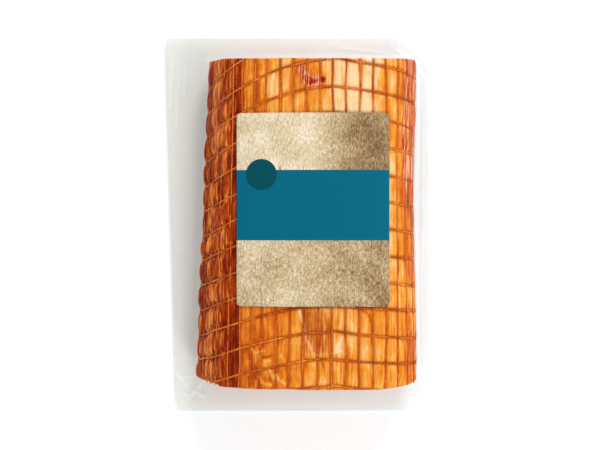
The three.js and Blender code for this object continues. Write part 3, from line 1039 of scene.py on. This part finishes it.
def make_cross_thread(name, k, material):
    s = np.linspace(0, STATIONS, 641)[:-1]
    y = cross_thread_y(s, k)
    z = section(s)[1]
    inside = np.minimum(top_end(z) - 0.6 - y, y - bottom_end(z) - 0.6) > 0
    closed = bool(inside.all())
    # A thread that runs off a cut end starts where it comes back onto the loin.
    if not closed:
        first = int(np.argmax(inside & ~np.roll(inside, 1)))
        order = np.roll(np.arange(len(s)), -first)
        s, y = s[order][inside[order]], y[order][inside[order]]
    lift = CROSS_THREAD_LIFT + 0.22 * noise(s * 1.1, k * 2.9, 62)
    centres = on_loin(s, y, lift)
    points, faces = thread_mesh(centres, outward_at(s), CROSS_YARN_RADIUS, closed)
    new_piece(name.replace("net_", "yarn_"), points, faces, material, [name])


PACK_LOW, PACK_HIGH = box_mm("pouch_front_web")
LABEL_LOW, LABEL_HIGH = box_mm("label")


def pack_left(y):
    """x of the pack's left edge, which slants."""
    length = PACK_HIGH[1] - PACK_LOW[1]
    return PACK_LOW[0] + PACK_LEFT_SLANT * (0.5 - y / length)


def film_stations():
    """Stations of the front film, from under the left flank over the crest to the right flank."""
    fine = np.arange(0, STATIONS, 1 / 8)
    x = section(fine)[0]
    first, last = fine[np.argmin(x)] - STATIONS - 1.15, fine[np.argmax(x)] + 0.9
    return np.arange(first, last, 1 / 8)


def film_rows():
    """Each row of the front film: part of the way along the loin, mm past its end, and rise."""
    corner = np.linspace(0, math.pi / 2, 5)[1:]
    past = 0.5 * np.sin(corner)
    rise = 1 - 0.8 * (1 - np.cos(corner)) / 54
    wall = np.linspace(0, 1, 12)[1:]
    past = np.concatenate([past, past[-1] + 1.1 * wall])
    rise = np.concatenate([rise, rise[-1] + (0.07 - rise[-1]) * wall])
    foot = np.linspace(0, 1, 9)[1:]
    past = np.concatenate([past, past[-1] + 4.0 * foot**2 + 0.3 * foot])
    rise = np.concatenate([rise, 0.07 * (1 - foot) ** 2])
    along = np.linspace(0, 1, 250)
    zeros = np.zeros(len(along))
    before = np.stack([np.zeros(len(past)), -past, rise], 1)[::-1]
    body = np.stack([along, zeros, zeros + 1], 1)
    beyond = np.stack([np.ones(len(past)), past, rise], 1)
    return np.concatenate([before, body, beyond])


def film_sag(s, y, x):
    """How far the film sinks into the net's cells, mm; it lies flat under the label."""
    to_long, to_cross = net_distances(s, y)
    cell = (1 - np.exp(-((to_long / 1.6) ** 2))) * (1 - np.exp(-((to_cross / 2.2) ** 2)))
    beside = np.maximum(LABEL_LOW[0] - x, x - LABEL_HIGH[0])
    beyond = np.maximum(LABEL_LOW[1] - y, y - LABEL_HIGH[1])
    clear = smoothstep(-0.5, 3.0, np.maximum(beside, beyond))
    return cell * clear * (1 - left_flank(s))


def make_front_film(material):
    stations = film_stations() % STATIONS
    rows = film_rows()
    z = section(stations)[1]
    low, high = bottom_end(z), top_end(z)
    body_y = low + (high - low) * rows[:, :1]
    ss = np.broadcast_to(stations, body_y.shape)
    near_end = np.exp(-np.minimum(body_y - low, high - body_y) / 2.5)
    to_cross = net_distances(ss, body_y)[1]
    bulge = 1 - (1 - np.clip(np.abs(to_cross) / 6.2, 0, 1)) ** 2
    lift = FILM_LIFT + 0.35 + left_flank(ss) * (0.15 + 0.5 * bulge) - 0.45 * near_end
    x = on_loin(ss, body_y, FILM_LIFT)[..., 0]
    lift = lift - 0.75 * film_sag(ss, body_y, x)
    lift = np.maximum(lift, meat_lift(ss, body_y) + 0.3 - 0.45 * near_end)
    over = on_loin(ss, body_y, lift + 0.6 * np.maximum(folds(ss, body_y), 0))
    flange = PACK_LOW[2]
    rise = rows[:, 2:]
    straight = np.linspace(over[:, 0, 0], over[:, -1, 0], len(stations), axis=1)
    keep = smoothstep(0.0, 0.5, rise)
    over[..., 0] = over[..., 0] * keep + straight * (1 - keep)
    over[..., 2] = flange + (over[..., 2] - flange) * rise
    # Past the ends the film hangs down beside the slanting cut ends.
    past = rows[:, 1:2]
    over[..., 1] += past + (past > 0) * (top_end(over[..., 2]) - high)
    over[..., 1] += (past < 0) * (bottom_end(over[..., 2]) - low)

    # The film turns out from under both flanks and goes on as the flat flange.
    t = np.linspace(0, 1, 11)[1:, None]

    def foot(start, way, reach):
        start = start[:, None]
        corner = start * [1, 1, 0] + [0.6 * way, 0, flange]
        out = start * [1, 1, 0] + [reach * way, 0, flange]
        return (1 - t) ** 2 * start + 2 * t * (1 - t) * corner + t**2 * out

    left = foot(over[:, 0], -1, 6.0)[:, ::-1]
    right = foot(over[:, -1], 1, 5.0)
    across = np.concatenate([left, over, right], 1)
    share = np.linspace(0, 1, 26)[:, None]
    y = across[:, 0, 1]
    edge_left = np.stack([pack_left(y), y, np.full(len(y), flange)], -1)
    edge_right = edge_left * [0, 1, 1] + [PACK_HIGH[0], 0, 0]
    fill_left = edge_left[:, None] * (1 - share) + left[:, :1] * share
    share = np.linspace(0, 1, 13)[:, None]
    fill_right = right[:, -1:] + (edge_right[:, None] - right[:, -1:]) * share
    grid = np.concatenate([fill_left[:, :-1], across, fill_right[:, 1:]], 1)

    # Beyond the ends the flange goes on to the pack's edges.
    def margin(edge, edge_y, steps):
        t = np.linspace(0, 1, steps)[1:, None, None]
        x_share = (edge[:, 0] - edge[0, 0]) / (edge[-1, 0] - edge[0, 0])
        goal_x = pack_left(edge_y) + (PACK_HIGH[0] - pack_left(edge_y)) * x_share
        goal = np.stack([goal_x, np.full(len(edge), edge_y), np.full(len(edge), flange)], -1)
        return edge * (1 - t) + goal * t

    before = margin(grid[0], PACK_LOW[1], 16)[::-1]
    beyond = margin(grid[-1], PACK_HIGH[1], 14)
    grid = np.concatenate([before, grid, beyond])
    height = grid[..., 2] - flange
    flat = smoothstep(7.0, 0.5, height)
    x, y = grid[..., 0], grid[..., 1]
    strokes = list(FLANGE_CREASES)
    for radius, strength in CORNER_ARCS:
        strokes += arc(CORNER_CENTRE, radius, 15, 75, CREASE_WIDTH, strength)
    creases = strokes_height(x, y, strokes)
    rumpled = 0.5 * creases + 0.25 + 0.25 * fractal(x / 14, y / 21, 71)
    grid[..., 2] += rumpled * smoothstep(3, 0.3, height)
    attributes = {"flange": flat, "crease": creases}
    faces = [grid_faces(*grid.shape[:2], False)]
    new_piece("front_film", grid, faces, material, ["pouch_front_web"], attributes)


def thicken(piece, thickness, side):
    """Gives a sheet its thickness, below itself with side -1 and above itself with side 1."""
    solid = piece.modifiers.new("thickness", "SOLIDIFY")
    solid.thickness = thickness * MM
    solid.offset = side


def make_back_film(material):
    (_, low, bottom), (_, high, top) = box_mm("pouch_back_web")
    flange = top - bottom - 0.3
    floor_low, floor_high, width = (-47.0, -83.0), (54.0, 85.5), 9.0
    ys = np.linspace(low, high, 120)
    share = np.linspace(0, 1, 90)
    rows = []
    for y in ys:
        x = pack_left(y) * (1 - share) - pack_left(high) * share
        out_x = np.maximum(floor_low[0] - x, x - floor_high[0])
        out_y = max(floor_low[1] - y, y - floor_high[1])
        out = np.maximum(smoothstep(0, width, out_x), smoothstep(0, width, out_y))
        rows.append(np.stack([x, np.full_like(x, y), 0.3 + flange * out], -1))
    grid = np.array(rows)
    faces = [grid_faces(*grid.shape[:2], False)]
    piece = new_piece("back_film", grid, faces, material, ["pouch_back_web"])
    thicken(piece, BACK_FILM_THICKNESS, -1)


def make_label(material):
    (x0, y0, _), (x1, y1, _) = LABEL_LOW, LABEL_HIGH
    radius = LABEL_CORNER
    stations = film_stations() % STATIONS
    stations = stations[section(stations)[3] > 0.25]
    share = np.linspace(0, 1, 120)
    rows = []
    for y in np.linspace(y0, y1, 150):
        near = min(y - y0, y1 - y, radius)
        inset = radius - math.sqrt(max(radius**2 - (radius - near) ** 2, 0))
        film = on_loin(stations, y, FILM_LIFT + 0.42)
        x = (x0 + inset) * (1 - share) + (x1 - inset) * share
        z = np.interp(x, film[:, 0], film[:, 2])
        rows.append(np.stack([x, np.full_like(x, y), z], -1))
    grid = np.array(rows)
    faces = [grid_faces(*grid.shape[:2], False)]
    piece = new_piece("front_label", grid, faces, material, ["label"])
    thicken(piece, LABEL_THICKNESS, 1)


def make_stage():
    """A pale floor, an even sky that is brighter at the horizon, and two soft boxes."""
    m = Nodes("pale_floor")
    pale = (0.87, 0.92, 0.93, 1)
    matte = m.principled(Base_Color=pale, Roughness=0.9, Emission_Strength=FLOOR_GLOW)
    width, drop = FLOOR_HALF_WIDTH, -FLOOR_DROP
    signs = ((-1, -1), (1, -1), (1, 1), (-1, 1))
    corners = [(a * width, b * width, drop) for a, b in signs]
    floor_mesh = new_mesh("floor", corners, [np.array([[0, 1, 2, 3]])])
    floor_mesh.materials.append(m.output(matte))
    new_object("floor", floor_mesh)

    world = bpy.data.worlds.new("studio")
    world.use_nodes = True
    nodes, links = world.node_tree.nodes, world.node_tree.links
    background = nodes["Background"]
    direction = nodes.new("ShaderNodeTexCoord")
    parts = nodes.new("ShaderNodeSeparateXYZ")
    level = nodes.new("ShaderNodeMapRange")
    background.inputs["Color"].default_value = (1, 1, 1, 1)
    links.new(direction.outputs["Generated"], parts.inputs[0])
    links.new(parts.outputs["Z"], level.inputs["Value"])
    level.inputs["To Min"].default_value = HORIZON_LIGHT
    level.inputs["To Max"].default_value = OVERHEAD_LIGHT
    links.new(level.outputs["Result"], background.inputs["Strength"])
    bpy.context.scene.world = world

    for name, place, size, power in SOFT_BOXES:
        data = bpy.data.lights.new(name, "AREA")
        data.energy = power
        data.size = size
        light = new_object(name, data)
        light.location = place
        light.rotation_euler = (-Vector(place)).to_track_quat("-Z", "Y").to_euler()


def make_camera():
    """Straight above the pack, at the photo's viewing angle."""
    data = bpy.data.cameras.new("camera")
    data.lens = CAMERA_LENS
    data.sensor_width = CAMERA_SENSOR
    camera = new_object("camera", data)
    camera.location = [v * MM for v in CAMERA_PLACE]
    bpy.context.scene.camera = camera


make_camera()
make_stage()
make_loin(meat_material())
yarn = thread_material()
for index, node in enumerate(LONG_THREADS):
    make_long_thread(node, index, yarn)
for index, node in enumerate(CROSS_THREADS):
    make_cross_thread(node, index, yarn)
make_back_film(back_film_material())
make_front_film(film_material())
make_label(label_material())
bpy.context.scene.view_settings.view_transform = "Standard"
